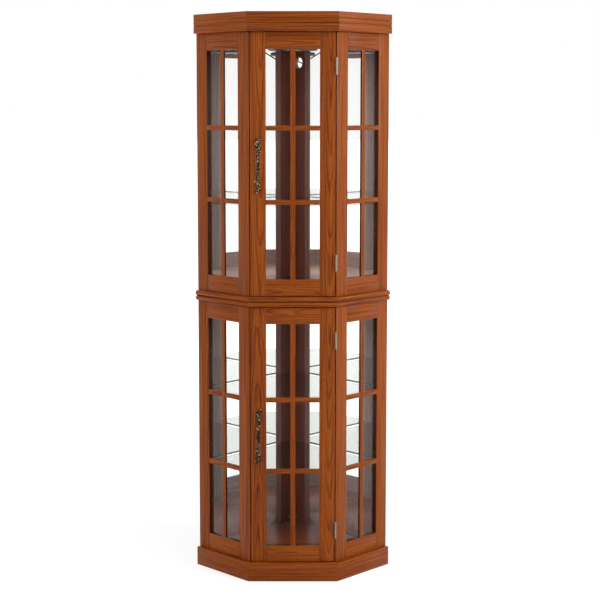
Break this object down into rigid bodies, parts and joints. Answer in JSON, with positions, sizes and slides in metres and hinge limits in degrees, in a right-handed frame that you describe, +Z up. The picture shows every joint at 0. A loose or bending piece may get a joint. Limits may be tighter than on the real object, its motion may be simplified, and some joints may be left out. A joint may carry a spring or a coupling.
{
  "type": "corner curio cabinet",
  "caption": "Five-sided corner display cabinet: stacked glazed bays with lattice doors on side hinges, mirrored back walls, glass shelves and a lamp under the top.",
  "frame": {"origin": "centre of the bounding box's bottom face, on the floor, without the lamp's cord", "axes": "+Z up, the doors face -Y, the room's corner is at +Y, +X is the right-hand side as the back of the cabinet sees it and the side that the hinges are on"},
  "size_m": [0.6332, 0.5383, 1.8],
  "materials": {
    "oak": "stained and lacquered, satin",
    "dark_oak": "dark stained and lacquered, satin",
    "clear_glass": "clear, polished",
    "shelf_glass": "clear with ground green edges",
    "mirror": "silvered glass",
    "nickel": "satin nickel plate",
    "bronze": "antiqued, darkened in its hollows",
    "black_plastic": "matt black",
    "cord_rubber": "matt black",
    "frosted_glass": "frosted",
    "grey_metal": "grey-green enamel, satin"
  },
  "bodies": {
    "cabinet": {"plinth_front": "oak", "cornice_front": "oak", "plinth_left": "oak", "cornice_left": "oak", "plinth_right": "oak", "cornice_right": "oak", "base_rear_rails": "dark_oak", "lower_floor_board": "oak", "lower_top_board": "oak", "upper_bottom_board": "oak", "upper_top_board": "oak", "lower_left_side_frame": "oak", "lower_left_side_lattice": "oak", "lower_left_side_glass": "clear_glass", "lower_left_wall_board": "dark_oak", "lower_left_mirror": "mirror", "lower_right_side_frame": "oak", "lower_right_side_lattice": "oak", "lower_right_side_glass": "clear_glass", "lower_right_wall_board": "dark_oak", "lower_right_mirror": "mirror", "lower_corner_post": "dark_oak", "lower_magnet_catch": "black_plastic", "lower_bottom_hinge_fixed_leaf": "nickel", "lower_top_hinge_fixed_leaf": "nickel", "upper_left_side_frame": "oak", "upper_left_side_lattice": "oak", "upper_left_side_glass": "clear_glass", "upper_left_wall_board": "dark_oak", "upper_left_mirror": "mirror", "upper_right_side_frame": "oak", "upper_right_side_lattice": "oak", "upper_right_side_glass": "clear_glass", "upper_right_wall_board": "dark_oak", "upper_right_mirror": "mirror", "upper_corner_post": "dark_oak", "upper_magnet_catch": "black_plastic", "upper_bottom_hinge_fixed_leaf": "nickel", "upper_top_hinge_fixed_leaf": "nickel", "lower_shelf_low": "shelf_glass", "lower_shelf_high": "shelf_glass", "upper_shelf": "shelf_glass", "lamp_housing": "black_plastic", "lamp_dish": "grey_metal", "lamp_lens": "frosted_glass", "lamp_cord": "cord_rubber", "cord_coil": "cord_rubber", "lamp_plug": "black_plastic"},
    "lower_door": {"lower_door_frame": "oak", "lower_door_lattice": "oak", "lower_door_glass": "clear_glass", "lower_door_pull": "bronze", "lower_bottom_hinge_door_leaf": "nickel", "lower_top_hinge_door_leaf": "nickel"},
    "upper_door": {"upper_door_frame": "oak", "upper_door_lattice": "oak", "upper_door_glass": "clear_glass", "upper_door_pull": "bronze", "upper_bottom_hinge_door_leaf": "nickel", "upper_top_hinge_door_leaf": "nickel"}
  },
  "joints": [
    {"name": "lower_door_hinge", "type": "hinge", "parent": "cabinet", "child": "lower_door", "pos_m": [0.1363, -0.23172, 0.472], "axis": [0, 0, 1], "range_deg": [0, 170]},
    {"name": "upper_door_hinge", "type": "hinge", "parent": "cabinet", "child": "upper_door", "pos_m": [0.1363, -0.23172, 1.328], "axis": [0, 0, 1], "range_deg": [0, 170]}
  ]
}
